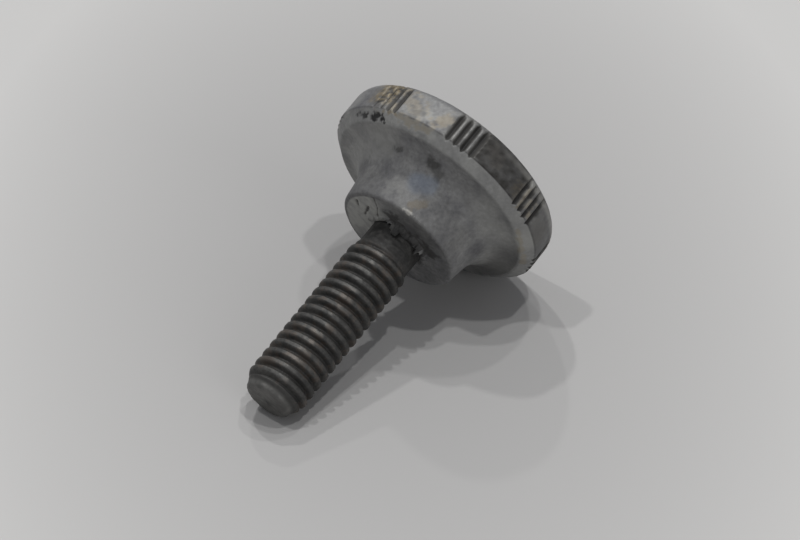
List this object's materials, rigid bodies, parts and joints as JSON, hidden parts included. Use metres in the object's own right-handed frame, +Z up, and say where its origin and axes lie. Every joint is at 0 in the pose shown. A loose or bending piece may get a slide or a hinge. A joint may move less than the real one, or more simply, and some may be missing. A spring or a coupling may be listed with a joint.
{
  "type": "cover thumb screw",
  "caption": "Thumb screw for a side cover: a cast disc head with grouped grip grooves and a flared hub, on a threaded steel stud with a plain neck.",
  "frame": {"origin": "on the table under the middle of the lying screw's box", "axes": "+Z up from the table; +X is where the head's back points, seen from above; the screw's axis lies in the XZ plane, tip down towards -X"},
  "size_m": [0.042, 0.0294, 0.029],
  "materials": {
    "cast_head": "as-cast, dull grey, scuffed and stained",
    "stud_steel": "dark oiled steel, worn brighter on the crests"
  },
  "bodies": {
    "root": {"grip_head": "cast_head", "threaded_stud": "stud_steel"}
  },
  "joints": []
}
